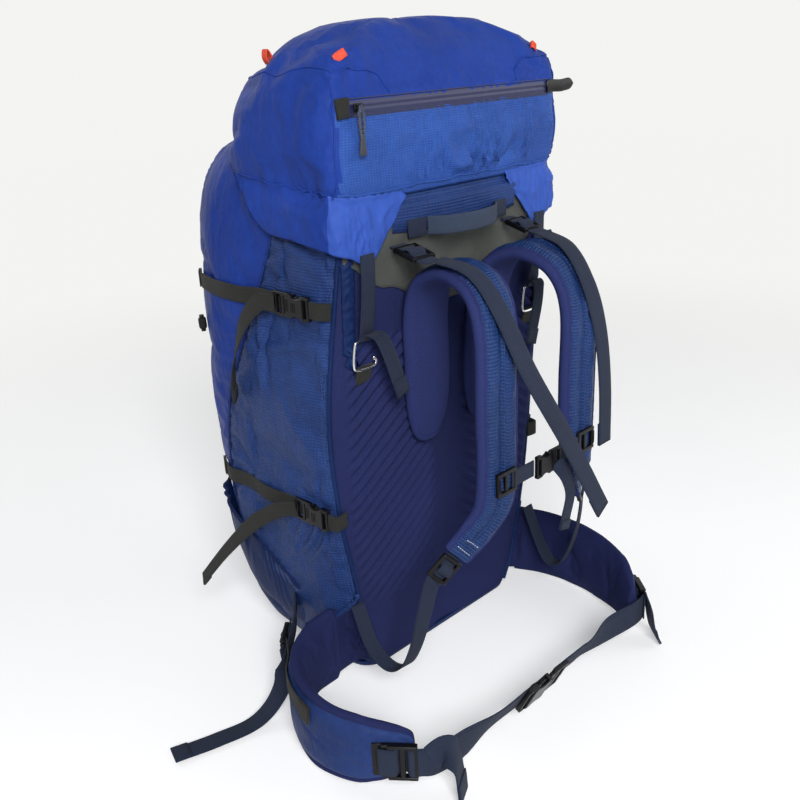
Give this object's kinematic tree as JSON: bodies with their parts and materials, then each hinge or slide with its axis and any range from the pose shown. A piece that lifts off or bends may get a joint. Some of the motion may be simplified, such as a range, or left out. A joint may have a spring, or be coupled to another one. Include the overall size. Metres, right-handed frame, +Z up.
{
  "type": "hiking backpack",
  "caption": "Tall framed hiking backpack with a hinged zipped lid, padded ridged back, shoulder harness, sternum strap, side compression straps and a buckled hip belt.",
  "frame": {"origin": "on the floor, on the flat underside of the base panel, midway between the sides", "axes": "+Z up, the wearer's side faces -Y, +X to the wearer's right as the pack is worn"},
  "size_m": [0.7226, 0.5014, 0.776],
  "materials": {
    "royal": "coated ripstop nylon, royal blue, satin",
    "navy": "ripstop nylon, navy blue, satin",
    "lining": "knitted lining over moulded foam, purple navy, matt",
    "slate": "woven webbing, slate blue",
    "olive": "woven webbing, olive black",
    "plastic": "moulded black plastic",
    "zip": "coated water-resistant zip tape, semi gloss",
    "wire": "bright bent wire",
    "sheet": "black polyethylene sheet",
    "stay": "flat aluminium bar"
  },
  "bodies": {
    "pack": {"front_panel": "royal", "lid_hinge_panel": "royal", "base_panel": "navy", "collar": "navy", "side_panel_left": "navy", "side_panel_right": "navy", "side_pocket_left": "navy", "side_pocket_right": "navy", "shoulder_strap_left": "navy", "shoulder_strap_right": "navy", "hip_wing_left": "navy", "hip_wing_right": "navy", "back_panel": "lining", "lid_strap_left": "slate", "lid_strap_right": "slate", "lower_webbing_left": "slate", "lower_webbing_right": "slate", "load_lifter_left": "slate", "load_lifter_right": "slate", "hip_webbing_left": "slate", "hip_webbing_right": "slate", "stabiliser_strap_left": "slate", "stabiliser_strap_right": "slate", "strap_upper_left": "olive", "strap_upper_right": "olive", "strap_lower_left": "olive", "strap_lower_right": "olive", "hip_socket": "plastic", "ladder_lock_left": "plastic", "ladder_lock_right": "plastic", "load_lifter_buckle_left": "plastic", "load_lifter_buckle_right": "plastic", "hip_adjuster_left": "plastic", "hip_adjuster_right": "plastic", "stabiliser_buckle_left": "plastic", "stabiliser_buckle_right": "plastic", "socket_upper_left": "plastic", "socket_upper_right": "plastic", "socket_lower_left": "plastic", "socket_lower_right": "plastic", "lid_hook_left": "wire", "lid_hook_right": "wire", "frame_sheet": "sheet", "frame_stay": "stay"},
    "lid": {"lid": "royal", "zip_tape": "zip"},
    "zip_slider": {"zip_slider": "plastic"},
    "zip_pull": {"zip_pull": "plastic"},
    "haul_loop": {"haul_loop": "slate"},
    "hip_plug": {"hip_plug": "plastic"},
    "sternum_plug": {"sternum_plug": "plastic"},
    "sternum_bar": {"sternum_slider_left": "plastic", "sternum_slider_right": "plastic", "sternum_strap_left": "slate", "sternum_strap_right": "slate", "sternum_socket": "plastic"},
    "plug_upper_left": {"plug_upper_left": "plastic"},
    "plug_upper_right": {"plug_upper_right": "plastic"},
    "plug_lower_left": {"plug_lower_left": "plastic"},
    "plug_lower_right": {"plug_lower_right": "plastic"}
  },
  "joints": [
    {"name": "lid_hinge", "type": "hinge", "parent": "pack", "child": "lid", "pos_m": [0, -0.168, 0.604], "axis": [1, 0, 0], "range_deg": [0, 100]},
    {"name": "zip_slide", "type": "slide", "parent": "lid", "child": "zip_slider", "axis": [1, 0, 0], "range_m": [0, 0.3]},
    {"name": "zip_pull_swing", "type": "hinge", "parent": "zip_slider", "child": "zip_pull", "pos_m": [-0.152, -0.18, 0.699], "axis": [0, 1, 0], "range_deg": [-60, 60]},
    {"name": "haul_loop_swing", "type": "hinge", "parent": "pack", "child": "haul_loop", "pos_m": [0, -0.1765, 0.568], "axis": [1, 0, 0], "range_deg": [-25, 25]},
    {"name": "hip_buckle_release", "type": "slide", "parent": "pack", "child": "hip_plug", "axis": [1, 0, 0], "range_m": [0, 0.034]},
    {"name": "sternum_height", "type": "slide", "parent": "pack", "child": "sternum_bar", "axis": [0, 0, 1], "range_m": [-0.03, 0.08]},
    {"name": "sternum_release", "type": "slide", "parent": "sternum_bar", "child": "sternum_plug", "axis": [1, 0, 0], "range_m": [0, 0.018]},
    {"name": "release_upper_left", "type": "slide", "parent": "pack", "child": "plug_upper_left", "axis": [0, 1, 0], "range_m": [0, 0.024]},
    {"name": "release_upper_right", "type": "slide", "parent": "pack", "child": "plug_upper_right", "axis": [0, 1, 0], "range_m": [0, 0.024]},
    {"name": "release_lower_left", "type": "slide", "parent": "pack", "child": "plug_lower_left", "axis": [0, 1, 0], "range_m": [0, 0.024]},
    {"name": "release_lower_right", "type": "slide", "parent": "pack", "child": "plug_lower_right", "axis": [0, 1, 0], "range_m": [0, 0.024]}
  ]
}
